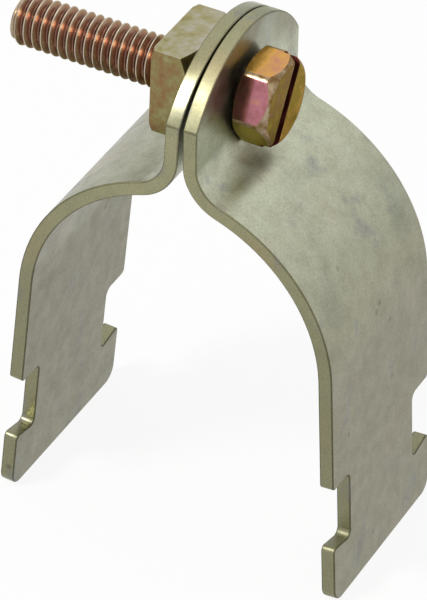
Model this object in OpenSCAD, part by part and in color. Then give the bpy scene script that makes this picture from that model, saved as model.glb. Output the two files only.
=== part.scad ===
// Two-piece pipe clamp for slotted strut channel
// Two folded straps hug the pipe and hook under the channel's lips, and a
// slotted hex-head screw with a square nut draws their ears together.
// X runs along the screw towards its head, Y along the pipe, Z up.
// The origin is midway between the legs, level with the tips of the hooks.

/* [Strap sheet] */
// Width of each strap along the pipe
strap_w = 31.75; // [28:0.25:40]
// Thickness of the folded sheet
sheet_t = 2.2; // [1.6:0.1:2.8]

/* [Ears and bends] */
// Height of each ear's round crown above the screw's axis
ear_top = 10.8; // [9.5:0.1:13]
// Height of each ear's side corners above the screw's axis
ear_corner = 1.9; // [0:0.1:4]
// Lean of each ear away from the other, going down, in degrees
ear_lean = 1.2; // [0.4:0.1:2]
// Gap left between the two ears at their crowns
ear_gap = 0.2; // [0.1:0.05:1]
// Depth below the screw's axis where an ear starts to bend outwards
bend_drop = 4.1; // [3:0.1:6]
// Radius of the bend on its hollow side, under the head and the nut
bend_r = 5.7; // [4.5:0.1:7.5]
// Turn of the bend, from the ear's own direction, in degrees
bend_turn = 70; // [66:0.5:76]
// Straight stretch between the bend and the seat
shoulder_flat = 0.4; // [0.2:0.1:2]

/* [Pipe seat] */
// Outside diameter of the pipe that the clamp is made for
pipe_d = 48.3; // [42:0.1:60]
// Room between the pipe and the curve of each strap
seat_clearance = 1.2; // [0.5:0.1:2]

/* [Legs] */
// Outward splay of each leg, in degrees
leg_splay = 4; // [2:0.5:6]
// Straight leg between the seat and the notches
leg_upper = 18.75; // [12:0.25:30]
// Height of each notch, from its shoulder to the tip of its hook
notch_h = 10.5; // [8:0.25:14]
// Width of the neck that stands in the channel's slot
neck_w = 21; // [18:0.25:22]
// Fall of each hook's ledge towards the neck
ledge_dip = 1.2; // [0:0.1:2]
// Height of each hook, from its tip to the end of the leg
hook_h = 10.2; // [8:0.2:14]
// Radius in the inner corners of the notches
notch_r = 1.3; // [0.6:0.1:2]
// Radius where each hook's ledge meets the neck
ledge_r = 1; // [0.4:0.1:1.6]
// Radius on the shoulders and on the tips of the hooks
tip_r = 0.8; // [0.3:0.1:1.2]
// Radius on the outer corners of the leg's end
leg_corner_r = 2.4; // [1:0.1:4]

/* [Screw] */
// Outside diameter of the screw's thread
thread_d = 7.8; // [7:0.05:8.5]
// Distance from one turn of the thread to the next
thread_pitch = 1.411; // [1.27:0.001:1.6]
// Depth of the thread
thread_depth = 0.8; // [0.4:0.05:0.85]
// Slope of the thread's flanks from square to the screw, in degrees
flank_slope = 30; // [25:1:30]
// Flat left on each crest of the thread
crest_flat = 0.18; // [0.1:0.01:0.25]
// Length of the screw under its head
screw_len = 37.5; // [32:0.5:60]
// Bevel on the screw's tip
tip_bevel = 0.9; // [0.4:0.1:1.5]
// Width across the flats of the head
head_af = 12.7; // [12:0.1:14]
// Height of the head
head_h = 5.5; // [4.5:0.1:7]
// Width of the rim between the head's top face and its flats
head_rim = 0.5; // [0.3:0.05:1]
// Fall of that rim from the top face to the flats
head_rim_fall = 0.4; // [0.2:0.05:0.7]
// Depth of the bevel at the head's top corners
head_bevel = 1.75; // [0.8:0.05:2.4]
// Depth of the bevel at the head's lower corners
head_under_bevel = 0.6; // [0.2:0.1:1]
// Turn of the head's corners about the screw, in degrees
head_turn = 4; // [0:1:60]
// Width of the driver slot
slot_w = 2; // [1.4:0.1:2.6]
// Depth of the driver slot
slot_depth = 2; // [1:0.1:3]
// Turn of the driver slot about the screw, in degrees
slot_turn = 61; // [0:1:180]

/* [Nut] */
// Width across the flats of the square nut
nut_af = 13.8; // [12.8:0.1:15]
// Thickness of the nut
nut_h = 6.35; // [5:0.05:8]
// Diameter of the nut's flat face inside its crowned corners
crown_d = 13.2; // [11:0.1:13.6]
// Slope of the crowned corners, in degrees
crown_slope = 28; // [15:1:35]
// Bevel on the corners of the nut's outer face
nut_bevel = 0.6; // [0.2:0.1:1.2]

/* [Fits] */
// Room around the screw in each ear's hole, at the radius
hole_clearance = 0.4; // [0.2:0.05:0.8]
// Running room between the screw and the nut, at the radius
thread_clearance = 0.05; // [0.02:0.01:0.1]
// Gap between the bend and the head or nut that seats on it
seat_gap = 0.1; // [0.05:0.01:0.2]

/* [Hidden] */
$fn = 96;
// Sides of the large circles and of the rounding tools
fine = 180;
// Overshoot of every cut past the face that it opens
over = 1;
// How far a rounding tool reaches past its corner
lap = 0.2;
// How much larger a round is than its radius, so that it crosses its sides instead of grazing them
blend = 0.003;
// Larger than any strap, for the blocks that trim it
far = 200;

// Direction and outward side of the strap's centre line at a given turn from straight down
function along(turn) = [sin(turn), -cos(turn)];
function outward(turn) = [cos(turn), sin(turn)];

// Centre line of one strap in X and Z about the screw's axis: ear, bend, shoulder, seat and leg
ear_x = ear_gap / 2 + (ear_top * sin(ear_lean) + sheet_t / 2) / cos(ear_lean);
bend_mid_r = bend_r + sheet_t / 2;
seat_r = pipe_d / 2 + seat_clearance;
seat_mid_r = seat_r + sheet_t / 2;
shoulder_turn = ear_lean + bend_turn;
seat_sweep = shoulder_turn - leg_splay;
bend_start = [ear_x + bend_drop * tan(ear_lean), -bend_drop];
bend_c = bend_start + outward(ear_lean) * bend_mid_r;
bend_knee = bend_start + along(ear_lean) * bend_mid_r * tan(bend_turn / 2);
seat_start = bend_knee + along(shoulder_turn) * (bend_mid_r * tan(bend_turn / 2) + shoulder_flat);
seat_knee = seat_start + along(shoulder_turn) * seat_mid_r * tan(seat_sweep / 2);
leg_start = seat_knee + along(leg_splay) * seat_mid_r * tan(seat_sweep / 2);
leg_len = leg_upper + notch_h + hook_h;
ear_end = bend_start - along(ear_lean) * (ear_top + bend_drop + over);
leg_end = leg_start + along(leg_splay) * leg_len;

// Height of the screw's axis over the tips of the hooks
screw_z = -(leg_start + along(leg_splay) * (leg_upper + notch_h))[1];

// Place along X of the hollow bend's surface at a height about the screw's axis
function bend_face_x(z) = bend_c[0] - sqrt(bend_r * bend_r - (z - bend_c[1]) * (z - bend_c[1]));

// Faces of the head and the nut: each seats where its lower rim meets the bend
head_rim_r = head_af / 2 - head_rim;
head_under_r = head_af / 2 - head_rim / 2;
head_x = bend_face_x(-head_under_r) + seat_gap;
nut_x = bend_face_x(-crown_d / 2) + seat_gap;
hole_r = thread_d / 2 + hole_clearance;
nut_bore_r = thread_d / 2 + thread_clearance;

// Crown of the ear: a circle through its top and its two side corners
crown_rise = ear_top - ear_corner;
ear_crown_r = (strap_w * strap_w / 4 + crown_rise * crown_rise) / (2 * crown_rise);

// What a round of radius r changes at the corner p between the neighbours a and b
module corner(a, p, b, r) {
    u = (a - p) / norm(a - p);
    v = (b - p) / norm(b - p);
    half = acos(u * v) / 2;
    mid = (u + v) / norm(u + v);
    c = p + mid * r / sin(half);
    difference() {
        polygon([p - mid * lap, p + u * r / tan(half), c, p + v * r / tan(half)]);
        translate(c) circle(r + blend, $fn = fine);
    }
}

// Solid as wide as the strap, from an outline seen along the pipe
module across() {
    rotate([90, 0, 0]) linear_extrude(strap_w, center = true) children();
}

// Sheet folded for one strap: a mitred sheet whose knees are then rounded
module folded_sheet() {
    half_t = sheet_t / 2;
    function knee(p, turn_a, turn_b, d) =
        p + d * (outward(turn_a) + outward(turn_b)) / (1 + outward(turn_a) * outward(turn_b));
    ear_side = outward(ear_lean) * half_t;
    leg_side = outward(leg_splay) * half_t;
    bend_out = knee(bend_knee, ear_lean, shoulder_turn, half_t);
    bend_in = knee(bend_knee, ear_lean, shoulder_turn, -half_t);
    seat_out = knee(seat_knee, shoulder_turn, leg_splay, half_t);
    seat_in = knee(seat_knee, shoulder_turn, leg_splay, -half_t);
    difference() {
        union() {
            across() polygon([
                ear_end + ear_side,
                bend_out,
                seat_out,
                leg_end + leg_side,
                leg_end - leg_side,
                seat_in,
                bend_in,
                ear_end - ear_side
            ]);
            across() corner(ear_end + ear_side, bend_out, seat_out, bend_r);
            across() corner(bend_in, seat_in, leg_end - leg_side, seat_r);
        }
        across() corner(ear_end - ear_side, bend_in, seat_in, bend_r + sheet_t);
        across() corner(bend_out, seat_out, leg_end + leg_side, seat_r + sheet_t);
    }
}

// One side's notch in the leg, across the pipe and down the leg
module notch() {
    side = strap_w / 2;
    neck = neck_w / 2;
    low = leg_upper + notch_h;
    mouth_top = [side + over, leg_upper];
    top_in = [neck, leg_upper];
    low_in = [neck, low + ledge_dip];
    mouth_low = [side + over, low - ledge_dip * over / (side - neck)];
    difference() {
        polygon([mouth_top, top_in, low_in, mouth_low]);
        corner(mouth_top, top_in, low_in, notch_r);
        corner(top_in, low_in, mouth_low, ledge_r);
    }
    corner([side, 0], [side, leg_upper], top_in, tip_r);
    corner(low_in, [side, low], [side, leg_len], tip_r);
    corner([side, low], [side, leg_len], [0, leg_len], leg_corner_r);
}

// Both notches, laid across Y and running down the leg
module leg_cuts() {
    for (side = [0, 1]) mirror([side, 0]) notch();
}

// Outline of the ear seen along the screw, with all that lies below its corners kept
module ear_outline() {
    translate([0, ear_top - ear_crown_r]) {
        circle(ear_crown_r, $fn = fine);
        translate([-far / 2, -far]) square([far, far]);
    }
}

// One folded strap, on the head's side
module strap() {
    difference() {
        intersection() {
            folded_sheet();
            rotate([90, 0, 90]) linear_extrude(far, center = true) ear_outline();
        }
        translate([leg_start[0], 0, leg_start[1]]) rotate([0, -leg_splay, 0]) rotate([-90, 0, 90])
            linear_extrude(sheet_t + 2 * over, center = true) leg_cuts();
        rotate([0, 90, 0]) cylinder(h = 2 * bend_mid_r, r = hole_r);
    }
}

// Solid turned about the screw's axis from an outline of radius and height, standing along X
module turned(points) {
    rotate([0, 90, 0]) rotate_extrude() polygon(points);
}

// Straight bar along X with flat sides, its first corner turned from Y
module flat_sided(across, sides, corner_turn, height) {
    rotate([0, 90, 0]) rotate(90 + corner_turn)
        linear_extrude(height) circle(across / 2 / cos(180 / sides), $fn = sides);
}

// Screw head, standing on its own under face
module hex_head() {
    corner_r = head_af / 2 / cos(30);
    top_slope = (head_bevel - head_rim_fall) / (corner_r - head_af / 2);
    difference() {
        intersection() {
            flat_sided(head_af, 6, head_turn, head_h);
            turned([
                [0, 0],
                [head_under_r, 0],
                [corner_r + over, head_under_bevel * (1 + over / (corner_r - head_under_r))],
                [corner_r + over, head_h - head_bevel - over * top_slope],
                [head_af / 2, head_h - head_rim_fall],
                [head_rim_r, head_h],
                [0, head_h]
            ]);
        }
        translate([head_h - slot_depth, 0, 0]) rotate([slot_turn, 0, 0])
            translate([0, -head_af, -slot_w / 2]) cube([slot_depth + over, 2 * head_af, slot_w]);
    }
}

// Threaded shank, from its bevelled tip to under the head, with rings for the turns of its thread
module shank() {
    thread_r = thread_d / 2;
    flank = thread_depth * tan(flank_slope);
    first = tip_bevel + crest_flat;
    last = screw_len - thread_pitch;
    turned(concat(
        [[0, 0], [thread_r - tip_bevel, 0], [thread_r, tip_bevel]],
        [for (low = [first : thread_pitch : last]) for (point = [
            [thread_r, low],
            [thread_r - thread_depth, low + flank],
            [thread_r - thread_depth, low + thread_pitch - crest_flat - flank],
            [thread_r, low + thread_pitch - crest_flat]
        ]) point],
        [[thread_r, screw_len + over], [0, screw_len + over]]
    ));
}

// Strap under the screw's head
module head_side_strap() {
    color("#B2B69C") strap();
}

// Strap under the nut
module nut_side_strap() {
    color("#A9AC93") mirror([1, 0, 0]) strap();
}

// Slotted screw, one piece from head to tip
module hex_head_screw() {
    color("#B0703C") {
        translate([head_x, 0, 0]) hex_head();
        translate([head_x - screw_len, 0, 0]) shank();
    }
}

// Square nut, with its crowned side towards the ear
module square_nut() {
    corner_r = nut_af / 2 / cos(45);
    color("#A08A50") translate([-nut_x - nut_h, 0, 0]) difference() {
        intersection() {
            flat_sided(nut_af, 4, 45, nut_h);
            turned([
                [0, 0],
                [corner_r - nut_bevel, 0],
                [corner_r + over, nut_bevel + over],
                [corner_r + over, nut_h - (corner_r + over - crown_d / 2) * tan(crown_slope)],
                [crown_d / 2, nut_h],
                [0, nut_h]
            ]);
        }
        translate([-over, 0, 0]) rotate([0, 90, 0]) cylinder(h = nut_h + 2 * over, r = nut_bore_r);
    }
}

module placed() {
    translate([0, 0, screw_z]) children();
}

placed() head_side_strap();
placed() nut_side_strap();
placed() hex_head_screw();
placed() square_nut();
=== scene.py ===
# %% [markdown]
# # A pipe clamp for strut channel
# The object is a clamp of two folded steel straps that hug a pipe. Their notched
# ends hook under the lips of a slotted channel, and a screw with a square nut
# draws their ears together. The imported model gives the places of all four
# pieces, so this script starts by loading it and keeps everything in its frame.

# %% Load the frame
from math import atan2, cos, degrees, hypot, pi, radians, sin, tan

import bmesh
import bpy
from mathutils import Matrix, Vector


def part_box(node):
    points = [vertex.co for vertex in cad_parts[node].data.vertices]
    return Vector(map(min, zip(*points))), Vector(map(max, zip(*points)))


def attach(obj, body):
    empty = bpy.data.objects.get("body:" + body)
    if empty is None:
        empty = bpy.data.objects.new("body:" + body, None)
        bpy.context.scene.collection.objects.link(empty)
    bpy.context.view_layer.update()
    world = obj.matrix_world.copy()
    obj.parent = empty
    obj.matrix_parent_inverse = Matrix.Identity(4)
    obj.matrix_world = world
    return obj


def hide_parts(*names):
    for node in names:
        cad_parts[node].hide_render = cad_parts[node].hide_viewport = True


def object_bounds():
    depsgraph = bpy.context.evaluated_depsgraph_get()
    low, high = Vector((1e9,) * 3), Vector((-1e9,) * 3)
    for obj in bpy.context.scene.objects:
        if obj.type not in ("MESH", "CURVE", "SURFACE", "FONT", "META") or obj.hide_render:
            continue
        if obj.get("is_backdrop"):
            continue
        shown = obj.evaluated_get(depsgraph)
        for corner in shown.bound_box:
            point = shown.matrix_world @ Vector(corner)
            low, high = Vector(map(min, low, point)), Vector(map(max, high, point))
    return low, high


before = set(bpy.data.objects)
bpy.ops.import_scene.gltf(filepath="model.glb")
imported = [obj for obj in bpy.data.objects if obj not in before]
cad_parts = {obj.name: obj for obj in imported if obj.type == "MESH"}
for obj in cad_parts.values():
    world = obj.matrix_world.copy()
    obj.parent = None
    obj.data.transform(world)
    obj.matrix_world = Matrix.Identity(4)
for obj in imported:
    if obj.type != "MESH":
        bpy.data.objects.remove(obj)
cad_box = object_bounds()

# %% [markdown]
# Sizes on drawings of such hardware are in millimetres, while Blender works in
# metres. One factor turns the first into the second, and the screw's axis is
# read from the frame: it is the middle of the nut's height.

# %% Units and the screw's axis
MM = 0.001
nut_low, nut_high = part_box("square_nut")
screw_low, screw_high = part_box("hex_head_screw")
strap_low, strap_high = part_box("head_side_strap")
axis_z = (nut_low.z + nut_high.z) / 2
print("screw axis at z = %.3f mm" % (axis_z / MM))
print("screw from x = %.3f to %.3f mm" % (screw_low.x / MM, screw_high.x / MM))

# %% [markdown]
# The camera comes first, because every choice of finish is judged through it.
# It stands where the photographer stood: turned 25.9 degrees round the clamp,
# 37.1 degrees above it, rolled by 2.6 degrees and 0.72 m away with a long lens.
# The angles were worked out from straight edges and circles in the photograph,
# so the shift stays at zero.

# %% Camera
turn, rise, roll = radians(25.92), radians(37.08), radians(2.58)
distance = 715.27 * MM
aim = Vector((-1.503 * MM, 0, 23.930 * MM))
lens_per_frame = 4875.43 / 600

back = Vector((sin(turn) * cos(rise), -cos(turn) * cos(rise), sin(rise)))
level = Vector((cos(turn), sin(turn), 0))
above = back.cross(level)
across = cos(roll) * level + sin(roll) * above
upward = -sin(roll) * level + cos(roll) * above

lens = bpy.data.cameras.new("camera")
lens.sensor_width = 36
lens.lens = 36 * lens_per_frame
lens.clip_start, lens.clip_end = 0.05, 10
camera = bpy.data.objects.new("camera", lens)
camera.matrix_world = Matrix.Translation(aim + 0.22 * MM * upward + distance * back) @ Matrix(
    (across, upward, back)
).transposed().to_4x4()
bpy.context.scene.collection.objects.link(camera)
bpy.context.scene.camera = camera
bpy.context.scene.view_settings.view_transform = "Standard"
print("lens %.1f mm, camera %s" % (lens.lens, [round(v, 3) for v in camera.location]))

# %% [markdown]
# Colours are picked as sRGB hex values, as a paint chart gives them. The
# shaders want linear light, so one function turns the first into the second.
# A second function adds any shader node with its settings and links, which
# keeps each material short enough to read from top to bottom.

# %% Colour and node helpers
def linear(hex_colour):
    """Linear RGBA of an sRGB hex colour."""
    parts = [int(hex_colour[i : i + 2], 16) / 255 for i in (1, 3, 5)]
    return [p / 12.92 if p <= 0.04045 else ((p + 0.055) / 1.055) ** 2.4 for p in parts] + [1]


def add(tree, kind, settings=None, links=None):
    """A shader node of that kind, with its settings made and its inputs linked."""
    node = tree.nodes.new(kind)
    for key, value in (settings or {}).items():
        if key == "stops":
            ramp = node.color_ramp
            while len(ramp.elements) < len(value):
                ramp.elements.new(0.5)
            for element, (place, hex_colour) in zip(ramp.elements, value):
                element.position, element.color = place, linear(hex_colour)
        elif isinstance(key, str) and hasattr(node, key):
            setattr(node, key, value)
        else:
            node.inputs[key].default_value = value
    for key, output in (links or {}).items():
        tree.links.new(output, node.inputs[key])
    return node


def per(size_mm):
    """Texture scale whose features are about that many millimetres wide."""
    return 1 / (size_mm * MM)


# Sockets of a Mix node that blends colours
FACTOR, FIRST, SECOND, BLENDED = 0, 6, 7, 2
print("linear of #B3B79E:", [round(v, 3) for v in linear("#B3B79E")])

# %% [markdown]
# The photograph is a catalogue picture on plain white. The floor is a pale
# matt sheet under the clamp's legs. For the camera it is mostly lit up to
# white, and it keeps a share of its real shading, so the clamp's soft shadow
# stays on it.

# %% Floor
floor_shape = bmesh.new()
bmesh.ops.create_grid(floor_shape, x_segments=1, y_segments=1, size=3)
bmesh.ops.translate(floor_shape, verts=floor_shape.verts, vec=(0, 0, cad_box[0][2] - 0.02 * MM))
floor_mesh = bpy.data.meshes.new("floor")
floor_shape.to_mesh(floor_mesh)
floor_shape.free()
floor = bpy.data.objects.new("floor", floor_mesh)
bpy.context.scene.collection.objects.link(floor)
floor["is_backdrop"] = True

paper = bpy.data.materials.new("matt_white_paper")
paper.use_nodes = True
tree = paper.node_tree
tree.nodes.clear()
rays = add(tree, "ShaderNodeLightPath")
matt = add(tree, "ShaderNodeBsdfDiffuse", {"Color": linear("#F4F4F2")})
glow = add(tree, "ShaderNodeEmission", {"Color": linear("#FFFFFF"), "Strength": 1})
seen = add(tree, "ShaderNodeMath", {"operation": "MAXIMUM"},
           {0: rays.outputs["Is Camera Ray"], 1: rays.outputs["Is Glossy Ray"]})
seen = add(tree, "ShaderNodeMath", {"operation": "MAXIMUM"},
           {0: seen.outputs[0], 1: rays.outputs["Is Transmission Ray"]})
seen = add(tree, "ShaderNodeMath", {"operation": "MULTIPLY", 1: 0.9}, {0: seen.outputs[0]})
sheet = add(tree, "ShaderNodeMixShader", None,
            {0: seen.outputs[0], 1: matt.outputs[0], 2: glow.outputs[0]})
add(tree, "ShaderNodeOutputMaterial", None, {"Surface": sheet.outputs[0]})
floor_mesh.materials.append(paper)
print("floor at z = %.2f mm" % (floor_mesh.vertices[0].co.z / MM))

# %% [markdown]
# Bright plated metal shows what stands round it, so a product photographer
# puts it in a white tent. The world plays the tent: it is white to the camera
# and to reflections, and gives the floor a softer light.

# %% White tent
world = bpy.data.worlds.new("white_tent")
bpy.context.scene.world = world
world.use_nodes = True
tree = world.node_tree
tree.nodes.clear()
rays = add(tree, "ShaderNodeLightPath")
seen = add(tree, "ShaderNodeMath", {"operation": "MAXIMUM"},
           {0: rays.outputs["Is Camera Ray"], 1: rays.outputs["Is Glossy Ray"]})
seen = add(tree, "ShaderNodeMath", {"operation": "MAXIMUM"},
           {0: seen.outputs[0], 1: rays.outputs["Is Transmission Ray"]})
tent = add(tree, "ShaderNodeBackground", {"Color": linear("#FFFFFF"), "Strength": 1})
soft = add(tree, "ShaderNodeBackground", {"Color": linear("#FFFFFF"), "Strength": 0.45})
walls = add(tree, "ShaderNodeMixShader", None,
            {0: seen.outputs[0], 1: soft.outputs[0], 2: tent.outputs[0]})
add(tree, "ShaderNodeOutputWorld", None, {"Surface": walls.outputs[0]})
print("world:", world.name)

# %% [markdown]
# Three soft lamps shape the folds: a small strong one high on the left, which
# draws the white bands on the rims of the ears, a weaker and wider one on the
# right and one high above, a little behind. Each is aimed at the middle of the clamp.

# %% Lamps
def soft_lamp(name, place, width, power):
    """Square area lamp at a place in metres, turned towards the clamp."""
    light = bpy.data.lights.new(name, "AREA")
    light.size, light.energy = width, power
    lamp = bpy.data.objects.new(name, light)
    lamp.location = place
    lamp.rotation_euler = (aim - Vector(place)).to_track_quat("-Z", "Y").to_euler()
    bpy.context.scene.collection.objects.link(lamp)
    return lamp


soft_lamp("key_left", (-0.34, -0.46, 0.74), 0.20, 5.0)
soft_lamp("fill_right", (0.80, -0.30, 0.40), 0.60, 0.6)
soft_lamp("top", (0.10, 0.30, 0.90), 0.50, 0.8)

# %% [markdown]
# The straps are mild steel sheet with zinc plating, dipped in a yellow
# chromate bath. That leaves a thin film whose colour drifts between grey
# green, straw and faint pink. The drift is made of three noise patterns:
# broad clouds of 14 mm, blotches of 3 mm and a rolling grain that is fine
# across the sheet and long down it. Lower down the film is darker and greyer,
# which is painted shade, and the tops of the ears are darker, which is a
# painted dark reflection.

# %% Strap finish
def plated_sheet(name, light_hex, warm_hex, cool_hex, blotch_and_painted_shade_hex, roughness, ear_top_painted_reflection):
    """Yellow chromate on zinc plated sheet, with the sheet's rolling grain."""
    material = bpy.data.materials.new(name)
    material.use_nodes = True
    tree = material.node_tree
    tree.nodes.clear()
    place = add(tree, "ShaderNodeTexCoord").outputs["Object"]
    clouds = add(tree, "ShaderNodeTexNoise", {"Scale": per(14), "Detail": 3}, {"Vector": place})
    film = add(tree, "ShaderNodeValToRGB",
               {"stops": [(0.30, cool_hex), (0.44, light_hex), (0.56, light_hex), (0.70, warm_hex)]},
               {0: clouds.outputs[0]})
    # Painted shade makes the film darker towards the legs, and a painted dark reflection darkens the ears'
    # tops
    height = add(tree, "ShaderNodeSeparateXYZ", None, {0: place})
    uneven = add(tree, "ShaderNodeMath", {"operation": "MULTIPLY_ADD", 1: 0.02},
                 {0: clouds.outputs[0], 2: height.outputs["Z"]})
    low = add(tree, "ShaderNodeMapRange",
              {"From Min": 0.064, "From Max": 0.038, "To Min": 0.0, "To Max": 0.80},
              {0: uneven.outputs[0]})
    high = add(tree, "ShaderNodeMapRange",
               {"From Min": 0.075, "From Max": 0.081, "To Min": 0.0, "To Max": ear_top_painted_reflection},
               {0: uneven.outputs[0]})
    painted_shade_and_reflection = add(tree, "ShaderNodeMath", {"operation": "MAXIMUM"},
                  {0: low.outputs[0], 1: high.outputs[0]})
    shaded = add(tree, "ShaderNodeMix", {"data_type": "RGBA", SECOND: linear(blotch_and_painted_shade_hex)},
                 {FACTOR: painted_shade_and_reflection.outputs[0], FIRST: film.outputs[0]})
    # Blotches of 3 mm, then blue-grey smudges of 5 mm in a few places
    blotches = add(tree, "ShaderNodeTexNoise", {"Scale": per(3), "Detail": 6, "Roughness": 0.65},
                   {"Vector": place})
    patchy = add(tree, "ShaderNodeMapRange",
                 {"From Min": 0.38, "From Max": 0.72, "To Min": 0.0, "To Max": 0.34},
                 {0: blotches.outputs[0]})
    mottled = add(tree, "ShaderNodeMix", {"data_type": "RGBA", SECOND: linear(blotch_and_painted_shade_hex)},
                  {FACTOR: patchy.outputs[0], FIRST: shaded.outputs[BLENDED]})
    moved = add(tree, "ShaderNodeMapping", {"Location": (0.013, 0.004, 0.021), "Scale": (1, 1, 0.6)},
                {"Vector": place})
    smears = add(tree, "ShaderNodeTexNoise", {"Scale": per(5), "Detail": 4, "Roughness": 0.6},
                 {"Vector": moved.outputs[0]})
    smudge = add(tree, "ShaderNodeMapRange",
                 {"From Min": 0.58, "From Max": 0.72, "To Min": 0.0, "To Max": 0.50},
                 {0: smears.outputs[0]})
    smudged = add(tree, "ShaderNodeMix", {"data_type": "RGBA", SECOND: linear("#78787F")},
                  {FACTOR: smudge.outputs[0], FIRST: mottled.outputs[BLENDED]})
    # A few shallow pits of 0.5 mm low on the legs, left by the sheet's scale
    cells = add(tree, "ShaderNodeTexVoronoi", {"Scale": per(6)}, {"Vector": place})
    pit = add(tree, "ShaderNodeMapRange",
              {"From Min": 0.10, "From Max": 0.05, "To Min": 0.0, "To Max": 0.75},
              {0: cells.outputs["Distance"]})
    sunk = add(tree, "ShaderNodeMath", {"operation": "MULTIPLY"},
               {0: pit.outputs[0], 1: low.outputs[0]})
    pitted = add(tree, "ShaderNodeMix", {"data_type": "RGBA", SECOND: linear("#5E5A48")},
                 {FACTOR: sunk.outputs[0], FIRST: smudged.outputs[BLENDED]})
    # Zinc crystals, drawn 0.3 mm wide because the real ones are too fine to show
    crystals = add(tree, "ShaderNodeTexNoise", {"Scale": per(0.3), "Detail": 2}, {"Vector": place})
    glint = add(tree, "ShaderNodeMapRange",
                {"From Min": 0.3, "From Max": 0.7, "To Min": 0.88, "To Max": 1.11},
                {0: crystals.outputs[0]})
    sparkled = add(tree, "ShaderNodeMix", {"data_type": "RGBA", "blend_type": "MULTIPLY", FACTOR: 1.0},
                   {FIRST: pitted.outputs[BLENDED], SECOND: glint.outputs[0]})
    # Rolling grain, 0.35 mm apart across the sheet and 9 mm long
    stretched = add(tree, "ShaderNodeMapping", {"Scale": (per(9), per(0.35), per(9))},
                    {"Vector": place})
    grain = add(tree, "ShaderNodeTexNoise", {"Scale": 1, "Detail": 4}, {"Vector": stretched.outputs[0]})
    relief = add(tree, "ShaderNodeMath", {"operation": "MULTIPLY_ADD", 1: 0.5},
                 {0: grain.outputs[0], 2: crystals.outputs[0]})
    bump = add(tree, "ShaderNodeBump", {"Strength": 0.22, "Distance": 0.03 * MM},
               {"Height": relief.outputs[0]})
    dull = add(tree, "ShaderNodeMapRange",
               {"From Min": 0.3, "From Max": 0.7, "To Min": roughness - 0.06, "To Max": roughness + 0.1},
               {0: blotches.outputs[0]})
    shader = add(tree, "ShaderNodeBsdfPrincipled", {"Metallic": 1.0},
                 {"Base Color": sparkled.outputs[BLENDED], "Roughness": dull.outputs[0],
                  "Normal": bump.outputs[0]})
    add(tree, "ShaderNodeOutputMaterial", None, {"Surface": shader.outputs[0]})
    return material


sheet_face = plated_sheet("yellow_chromate_on_rolled_sheet",
                          "#B9BCA6", "#BBB1A0", "#A7B0A0", "#807C67", 0.35, 0.9)
# Painted shade: a darker copy of the same plating, for the nut-side strap
painted_shade_face = plated_sheet("yellow_chromate_on_rolled_sheet_with_painted_shade",
                         "#ACAE98", "#AFA694", "#9CA494", "#7E7B68", 0.35, 0.9)
sheet_edge = plated_sheet("yellow_chromate_on_sheared_edge",
                          "#9A9878", "#9F9370", "#8B8D72", "#838167", 0.28, 0)
dull_edge = plated_sheet("duller_chromate_on_sheared_edge",
                         "#9A9878", "#9F9370", "#8B8D72", "#838167", 0.46, 0)
# Painted shade: the rounds along every edge are darker
painted_shade_corner = plated_sheet("chromate_with_painted_shade_along_corners",
                            "#7C7A5E", "#7E7458", "#72745C", "#565440", 0.42, 0)
print("strap finishes:", sheet_face.name, sheet_edge.name, dull_edge.name, painted_shade_corner.name)

# %% [markdown]
# Each strap is one folded and notched blank. The imported model already has its
# exact shape, and lacks only the small rounding that shearing and plating
# leave on every edge. So a copy of that mesh is merged, its flat faces are
# joined up, and every sharp edge gets a 0.28 mm round. These rounds take a
# darker colour, a painted shade line along each edge. The sheared faces look
# towards Y, or along the strap at its crown, notches and end, and they take
# the darker finish of cut steel.

# %% Straps
def finish_piece(shape, name, body, node, materials, sharp=30):
    """Object from a bmesh, placed, shaded and tied to its body; it hides the imported part of the node it
    stands for.
    """
    mesh = bpy.data.meshes.new(name)
    shape.to_mesh(mesh)
    shape.free()
    for material in materials:
        mesh.materials.append(material)
    mesh.shade_smooth()
    mesh.set_sharp_from_angle(angle=radians(sharp))
    piece = bpy.data.objects.new(name, mesh)
    bpy.context.scene.collection.objects.link(piece)
    weighted = piece.modifiers.new("large_faces_stay_flat", "WEIGHTED_NORMAL")
    weighted.keep_sharp = True
    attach(piece, body)
    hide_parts(node)
    print(name, len(mesh.polygons), "faces, box", [round(v / MM, 2) for v in piece.dimensions])
    return piece


def sheared(face):
    """True for a face on the cut edge of the folded sheet."""
    n, z = face.normal, face.calc_center_median().z
    if abs(n.y) > 0.5:
        return True
    return abs(n.x) < 0.5 and (z < 20 * MM or z > axis_z - 4.5 * MM)


def rounded_strap(node, body, face_finish, edge_finish):
    """Merged copy of a strap's mesh with its edges rounded and its cut faces marked."""
    shape = bmesh.new()
    shape.from_mesh(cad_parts[node].data)
    bmesh.ops.remove_doubles(shape, verts=shape.verts, dist=0.002 * MM)
    bmesh.ops.dissolve_limit(shape, angle_limit=radians(0.3), verts=shape.verts, edges=shape.edges)
    bmesh.ops.recalc_face_normals(shape, faces=shape.faces)
    edges = [e for e in shape.edges if len(e.link_faces) == 2 and e.calc_face_angle() > radians(25)]
    rounds = bmesh.ops.bevel(shape, geom=edges, offset=0.2 * MM, segments=3, profile=0.5,
                             affect="EDGES", material=-1, clamp_overlap=False)["faces"]
    for face in shape.faces:
        face.material_index = int(sheared(face))
    # The rounds take the painted shade along the edges
    for face in rounds:
        face.material_index = 2
    bmesh.ops.triangulate(shape, faces=[f for f in shape.faces if len(f.verts) > 4])
    return finish_piece(shape, node + "_plated", body, node,
                        [face_finish, edge_finish, painted_shade_corner], 20)


rounded_strap("head_side_strap", "head_half", sheet_face, dull_edge)
rounded_strap("nut_side_strap", "nut_half", painted_shade_face, sheet_edge)
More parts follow.
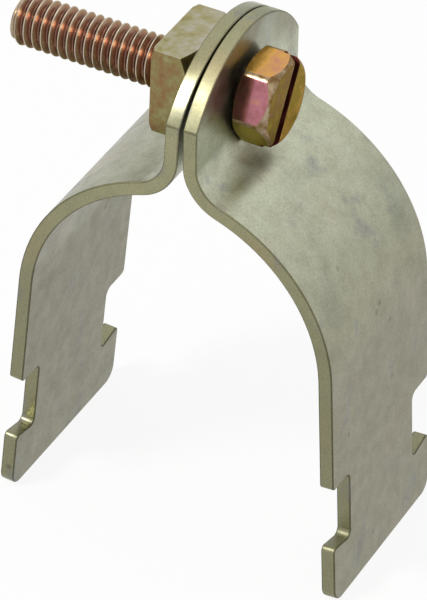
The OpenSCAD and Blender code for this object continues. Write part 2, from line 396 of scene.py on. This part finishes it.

# %% [markdown]
# The screw and the nut were dipped longer, in a stronger bath. Their film is
# thick enough to split light like oil on water, so its colour runs through
# maroon, orange, straw, yellow green and pink as the thickness changes. Each
# vertex of the piece carries that thickness as a number from 0 to 1, called
# film, and a colour ramp turns it into the colour of the film. On the screw the
# same number also carries painted shade in the thread's roots and on the
# head's front flat, and painted highlights on the thread's crests.

# %% Iridescent plating
def rainbow_plating(name, stops, roughness, patch, spread):
    """Iridescent chromate on zinc, whose colour follows the film attribute."""
    material = bpy.data.materials.new(name)
    material.use_nodes = True
    tree = material.node_tree
    tree.nodes.clear()
    place = add(tree, "ShaderNodeTexCoord").outputs["Object"]
    film = add(tree, "ShaderNodeAttribute", {"attribute_name": "film"})
    clouds = add(tree, "ShaderNodeTexNoise", {"Scale": per(patch), "Detail": 7, "Roughness": 0.68},
                 {"Vector": place})
    drift = add(tree, "ShaderNodeMapRange",
                {"From Min": 0.25, "From Max": 0.75, "To Min": -spread, "To Max": spread},
                {0: clouds.outputs[0]})
    thickness = add(tree, "ShaderNodeMath", {"operation": "ADD"},
                    {0: film.outputs["Fac"], 1: drift.outputs[0]})
    colour = add(tree, "ShaderNodeValToRGB", {"stops": stops}, {0: thickness.outputs[0]})
    grit = add(tree, "ShaderNodeTexNoise", {"Scale": per(0.4), "Detail": 3}, {"Vector": place})
    bump = add(tree, "ShaderNodeBump", {"Strength": 0.25, "Distance": 0.03 * MM},
               {"Height": grit.outputs[0]})
    # The film keeps its colour at a shallow angle, so the edge reflection is tinted
    shader = add(tree, "ShaderNodeBsdfPrincipled",
                 {"Metallic": 1.0, "Roughness": roughness, "Specular Tint": linear("#E7DBC8")},
                 {"Base Color": colour.outputs[0], "Normal": bump.outputs[0]})
    add(tree, "ShaderNodeOutputMaterial", None, {"Surface": shader.outputs[0]})
    return material


# The maroon of the first ramp also serves as painted shade on the head's front flat; THREAD runs from
# painted shade in the roots to painted highlights on the crests
FILM_AND_PAINTED_SHADE = [(0.00, "#7C6812"), (0.16, "#D4A258"), (0.32, "#B67680"), (0.45, "#84504A"),
        (0.58, "#553630"), (0.76, "#948A2C"), (0.88, "#6E5228"), (1.00, "#B7A68E")]
THREAD = [(0.0, "#70564A"), (0.35, "#98715F"), (0.70, "#A29078"), (1.0, "#CBBEAE")]
OLIVE = [(0.0, "#5A4A34"), (0.25, "#8A6A4A"), (0.45, "#8C8458"), (0.6, "#A09A74"),
         (0.8, "#AFAC9C"), (1.0, "#A9A8AC")]
head_plating_with_painted_shade = rainbow_plating("iridescent_chromate_with_painted_shade_on_head", FILM_AND_PAINTED_SHADE, 0.26, 1.8, 0.08)
thread_plating_with_painted_light = rainbow_plating("iridescent_chromate_on_thread", THREAD, 0.30, 1.2, 0.16)
# Painted shade: the slot's floor and walls are dark maroon because shade falls in the slot
slot_painted_shade = rainbow_plating("dark_chromate_with_painted_shade_in_slot", [(0.0, "#6A3428"), (1.0, "#4E241E")], 0.5, 2, 0.1)
nut_plating = rainbow_plating("olive_chromate_on_nut", OLIVE, 0.34, 1.7, 0.26)
print("screw film colours:", len(FILM_AND_PAINTED_SHADE), "nut film colours:", len(OLIVE))

# %% [markdown]
# Cold-formed heads and nuts start as a turned shape whose sides are then
# struck flat. The same two steps work here: an outline of places along the
# screw and radii is spun about the axis, and a cutting plane takes off each
# side.

# %% Turned blanks with flat sides
def turned(outline, steps=96):
    """Closed shape spun about X from a closed outline of (x, radius) in millimetres."""
    shape = bmesh.new()
    points = [shape.verts.new((x * MM, r * MM, 0)) for x, r in outline]
    ends_on_axis = outline[0][1] == 0 and outline[-1][1] == 0
    pairs = list(zip(points, points[1:])) + ([] if ends_on_axis else [(points[-1], points[0])])
    edges = [shape.edges.new(pair) for pair in pairs]
    bmesh.ops.spin(shape, geom=points + edges, cent=(0, 0, 0), axis=(1, 0, 0), dvec=(0, 0, 0),
                   angle=2 * pi, steps=steps, use_merge=True)
    bmesh.ops.remove_doubles(shape, verts=shape.verts, dist=0.001 * MM)
    bmesh.ops.recalc_face_normals(shape, faces=shape.faces)
    return shape


def strike_flats(shape, width, sides, first):
    """Cuts flat sides, that width apart in millimetres, the first at an angle from Y."""
    for k in range(sides):
        angle = radians(first + 360 / sides * k)
        normal = Vector((0, cos(angle), sin(angle)))
        bmesh.ops.bisect_plane(shape, geom=shape.verts[:] + shape.edges[:] + shape.faces[:],
                               plane_co=normal * width / 2 * MM, plane_no=normal, clear_outer=True)
        bmesh.ops.holes_fill(shape, edges=shape.edges, sides=0)
    bmesh.ops.recalc_face_normals(shape, faces=shape.faces)


def side_edges(shape, radius):
    """Edges that run along X, further than radius from the axis."""
    return [e for e in shape.edges
            if all(hypot(v.co.y, v.co.z) > radius * MM for v in e.verts)
            and abs((e.verts[0].co - e.verts[1].co).normalized().x) > 0.95]


def sharp_edges(shape, angle):
    """Edges whose faces meet at more than that angle, in degrees."""
    return [e for e in shape.edges if len(e.link_faces) == 2 and e.calc_face_angle() > radians(angle)]


def bevel(shape, edges, offset, segments=3):
    """Rounds those edges by an offset in millimetres."""
    bmesh.ops.bevel(shape, geom=edges, offset=offset * MM, segments=segments, profile=0.5,
                    affect="EDGES", material=-1, clamp_overlap=True)


def tidy_mesh(shape, gap):
    """Merges points closer than a gap in millimetres, which close cuts leave behind."""
    bmesh.ops.remove_doubles(shape, verts=shape.verts, dist=gap * MM)
    bmesh.ops.dissolve_degenerate(shape, dist=gap * MM, edges=shape.edges)


def paint_film(shape, rule):
    """Writes the film number of each face's corners from a rule of normal, x, angle and radius."""
    shape.normal_update()
    layer = shape.loops.layers.float.new("film")
    for face in shape.faces:
        for loop in face.loops:
            y, z = loop.vert.co.y, loop.vert.co.z - axis_z
            loop[layer] = rule(face.normal, loop.vert.co.x / MM, degrees(atan2(z, y)) % 360,
                               hypot(y, z) / MM)


print("blank tools ready")

# %% [markdown]
# The screw is a 5/16 in machine screw with 18 threads to the inch and a
# 1/2 in hex head. Its thread is rolled, so crests and roots are rounded. One
# tooth of 1.411 mm is spun round the axis while it moves along it, a fortieth
# of a turn at a time, and neighbouring turns are merged into one helix. The
# tip's chamfer squeezes the last crests into a cone.

# %% Threaded shank
PITCH, THREAD_R, DEPTH = 1.411, 3.9, 0.80
TOOTH = [(-0.50, 1.0), (-0.42, 0.96), (-0.36, 0.86), (-0.09, 0.14), (-0.05, 0.03), (0, 0),
         (0.05, 0.03), (0.09, 0.14), (0.36, 0.86), (0.42, 0.96), (0.50, 1.0)]
STEPS = 40
tip_x, face_x = screw_low.x / MM, screw_high.x / MM
head_x = face_x - 5.5
shank_end = head_x + 0.6
CREST_START = -0.35

shank = bmesh.new()
first_crest = tip_x - 1.5 * PITCH + CREST_START
tooth = [shank.verts.new(((first_crest + x * PITCH) * MM, (THREAD_R - d * DEPTH) * MM, 0))
         for x, d in TOOTH]
tooth_edges = [shank.edges.new(pair) for pair in zip(tooth, tooth[1:])]
turns = int((shank_end - first_crest) / PITCH) + 3
bmesh.ops.spin(shank, geom=tooth + tooth_edges, cent=(0, 0, 0), axis=(1, 0, 0),
               dvec=(PITCH * MM / STEPS, 0, 0), angle=2 * pi * turns, steps=STEPS * turns,
               use_merge=False)
bmesh.ops.remove_doubles(shank, verts=shank.verts, dist=0.002 * MM)
for cut_x, side in ((tip_x, -1), (shank_end, 1)):
    bmesh.ops.bisect_plane(shank, geom=shank.verts[:] + shank.edges[:] + shank.faces[:],
                           plane_co=(cut_x * MM, 0, 0), plane_no=(side, 0, 0), clear_outer=True)
for v in shank.verts:
    limit = 3.25 + (v.co.x / MM - tip_x) * tan(radians(40))
    radius = hypot(v.co.y, v.co.z) / MM
    if radius > limit:
        v.co.y, v.co.z = v.co.y * limit / radius, v.co.z * limit / radius
bmesh.ops.holes_fill(shank, edges=shank.edges, sides=0)
bmesh.ops.recalc_face_normals(shank, faces=shank.faces)
print("shank:", len(shank.faces), "faces,", turns, "turns")

# %% [markdown]
# The head is a hex blank with a turned top: a flat face, a softly rounded rim
# and a cone that cuts the six corners. The driver slot is milled right across
# it, 2 mm wide and 2 mm deep. A box takes it out through a Boolean modifier,
# because such a cut crosses the rim, the cone and two flats at once. Then
# every edge gets the small round that plating and handling leave.

# %% Slotted head
HEAD_AF, CORNER_TURN, SLOT_TURN = 12.7, 4, 61
top = face_x
head = turned([(head_x, 0), (head_x, 6.1), (head_x + 0.6, 7.35), (top - 1.70, 7.45),
               (top - 0.42, 6.42), (top - 0.16, 6.15), (top - 0.04, 5.9), (top, 5.6), (top, 0)], 60)
strike_flats(head, HEAD_AF, 6, CORNER_TURN + 30)
# Each corner is rounded by four narrow flats that touch the same circle
CORNER_R = 1.5
corner_centre = (HEAD_AF / 2 - CORNER_R) / cos(radians(30))
for lean in (-22.5, -7.5, 7.5, 22.5):
    reach = corner_centre * cos(radians(lean)) + CORNER_R
    strike_flats(head, 2 * reach, 6, CORNER_TURN + lean)
tidy_mesh(head, 0.03)
bevel(head, sharp_edges(head, 28), 0.40)
tidy_mesh(head, 0.01)

slot = bmesh.new()
bmesh.ops.create_cube(slot, size=1)
bmesh.ops.scale(slot, verts=slot.verts, vec=(4 * MM, 30 * MM, 2 * MM))
bmesh.ops.translate(slot, verts=slot.verts, vec=(top * MM, 0, 0))
bmesh.ops.rotate(slot, verts=slot.verts, cent=(0, 0, 0), matrix=Matrix.Rotation(radians(SLOT_TURN), 3, "X"))


def scratch_object(shape, name):
    """Short-lived object for a Boolean cut."""
    mesh = bpy.data.meshes.new(name)
    shape.to_mesh(mesh)
    shape.free()
    thing = bpy.data.objects.new(name, mesh)
    bpy.context.scene.collection.objects.link(thing)
    return thing


blank, cutter = scratch_object(head, "blank"), scratch_object(slot, "cutter")
cut = blank.modifiers.new("slot", "BOOLEAN")
cut.operation, cut.solver, cut.object = "DIFFERENCE", "EXACT", cutter
bpy.context.view_layer.update()
head = bmesh.new()
head.from_object(blank, bpy.context.evaluated_depsgraph_get())
for thing in (blank, cutter):
    bpy.data.objects.remove(thing)
bmesh.ops.remove_doubles(head, verts=head.verts, dist=0.002 * MM)
tidy_mesh(head, 0.01)
bevel(head, sharp_edges(head, 50), 0.10, 2)
tidy_mesh(head, 0.005)
# These rings of cuts carry the painted shade on the flats, from under the head towards the top
for depth in (1.6, 2.1, 2.6, 3.4):
    bmesh.ops.bisect_plane(head, geom=head.verts[:] + head.edges[:] + head.faces[:],
                           plane_co=((head_x + depth) * MM, 0, 0), plane_no=(1, 0, 0))
print("head:", len(head.faces), "faces")

# %% [markdown]
# Head and shank are one forging, so both go into one mesh, the shank's end
# sunk 0.6 mm into the head. The thread is dark in its roots, which is painted
# shade, and pale along its crests, which are painted highlights. On the head
# each flat has its own colour: gold on top, maroon turning rose in front, olive
# below and gold on the face; the maroon under the head is painted shade.

# %% Screw
# Film on each flat, by the angle of its middle from Y: under the head, then at its top. The front flat's
# maroon under the head is painted shade
FLATS = {94: (0.10, 0.20), 154: (0.57, 0.34), 214: (0.74, 0.78), 274: (0.80, 0.88),
         334: (0.20, 0.05), 34: (0.45, 0.20)}


def screw_film(normal, x, angle, radius):
    """Film on the screw, for a face that looks along normal, in mm and degrees, with painted shade and
    painted highlights.
    """
    if x < head_x - 0.01 and normal.x < -0.9:
        return 0.72
    if x < head_x - 0.01:
        if x < tip_x + 1.2:
            return 0.80
        # Painted highlights along the crests, painted shade down in the roots
        sunk = (THREAD_R - radius) / DEPTH
        return 0.95 if sunk < 0.10 else 0.66 if sunk < 0.3 else 0.50 - 0.45 * sunk
    side = radius * sin(radians(angle - SLOT_TURN))
    down = -radius * cos(radians(angle - SLOT_TURN))
    if normal.x > 0.95:
        return 0.86 if side > 0 else 0.016 * min(max(down, 0), 5)
    flat = min(FLATS, key=lambda f: abs((angle - f + 180) % 360 - 180))
    facing = Vector((0, cos(radians(flat)), sin(radians(flat)))).dot(normal)
    if facing < 0.985:
        return 0.24 if normal.x > 0.3 and side < 0 and down > 2 else 0.92
    start, end = FLATS[flat]
    share = min(max((x - head_x - 1.6) / 1.0, 0), 1)
    return start + (end - start) * share


def in_slot(face):
    """True for a face on the floor or a wall of the driver slot."""
    middle = face.calc_center_median()
    off = -middle.y * sin(radians(SLOT_TURN)) + (middle.z - axis_z) * cos(radians(SLOT_TURN))
    return top - 2.1 < middle.x / MM < top - 0.02 and abs(off) < 1.005 * MM


shape_mesh = bpy.data.meshes.new("parts")
for part in (shank, head):
    part.to_mesh(shape_mesh)
    part.free()
    if part is shank:
        screw = bmesh.new()
    screw.from_mesh(shape_mesh)
bpy.data.meshes.remove(shape_mesh)
bmesh.ops.translate(screw, verts=screw.verts, vec=(0, 0, axis_z))
bmesh.ops.triangulate(screw, faces=[f for f in screw.faces if len(f.verts) > 4])
paint_film(screw, screw_film)
for face in screw.faces:
    face.material_index = 2 if face.calc_center_median().x / MM < head_x else int(in_slot(face))
finish_piece(screw, "slotted_hex_screw", "screw", "hex_head_screw",
             [head_plating_with_painted_shade, slot_painted_shade, thread_plating_with_painted_light])

# %% [markdown]
# The nut is a square one, 13.8 mm across and 6.35 mm thick. It was pressed
# from bar, so its long edges are well rounded, most of all the lower front
# one, and its side towards the ear is crowned: a flat ring inside a cone of
# 28 degrees that takes off the corners.

# %% Square nut
NUT_AF, CROWN_R = 13.8, 6.6
outer_x, seat_x = nut_low.x / MM, nut_high.x / MM
nut = turned([(outer_x + 0.5, 3.95), (outer_x, 4.5), (outer_x, 8.9), (outer_x + 0.6, 9.9),
              (seat_x - 3.3 * tan(radians(28)), 9.9), (seat_x, CROWN_R), (seat_x, 4.5),
              (seat_x - 0.5, 3.95)])
strike_flats(nut, NUT_AF, 4, 0)
long_edges = side_edges(nut, 8)
soft_corner = [e for e in long_edges if e.verts[0].co.y < 0 and e.verts[0].co.z < 0]
bevel(nut, soft_corner, 1.7, 5)
bevel(nut, side_edges(nut, 9.3), 0.8, 4)
tidy_mesh(nut, 0.03)
bevel(nut, sharp_edges(nut, 40), 0.15, 2)


def nut_film(normal, x, angle, radius):
    """Film on the nut: redder towards its outer face in front, greyer on top."""
    share = (x - outer_x) / (seat_x - outer_x)
    if normal.z > 0.5:
        return 0.62 + 0.1 * share
    return 0.32 + 0.12 * share + (0.04 if angle > 180 else 0)


bmesh.ops.translate(nut, verts=nut.verts, vec=(0, 0, axis_z))
bmesh.ops.triangulate(nut, faces=[f for f in nut.faces if len(f.verts) > 4])
paint_film(nut, nut_film)
finish_piece(nut, "pressed_square_nut", "nut", "square_nut", [nut_plating])

# %% [markdown]
# Last, the size of the dressed clamp is set against the size of the packed
# model, because dressing must not change it.

# %% Sizes and finish
dressed_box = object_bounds()
for label, (low_corner, high_corner) in (("packed", cad_box), ("dressed", dressed_box)):
    print(label, [round((b - a) / MM, 2) for a, b in zip(low_corner, high_corner)])
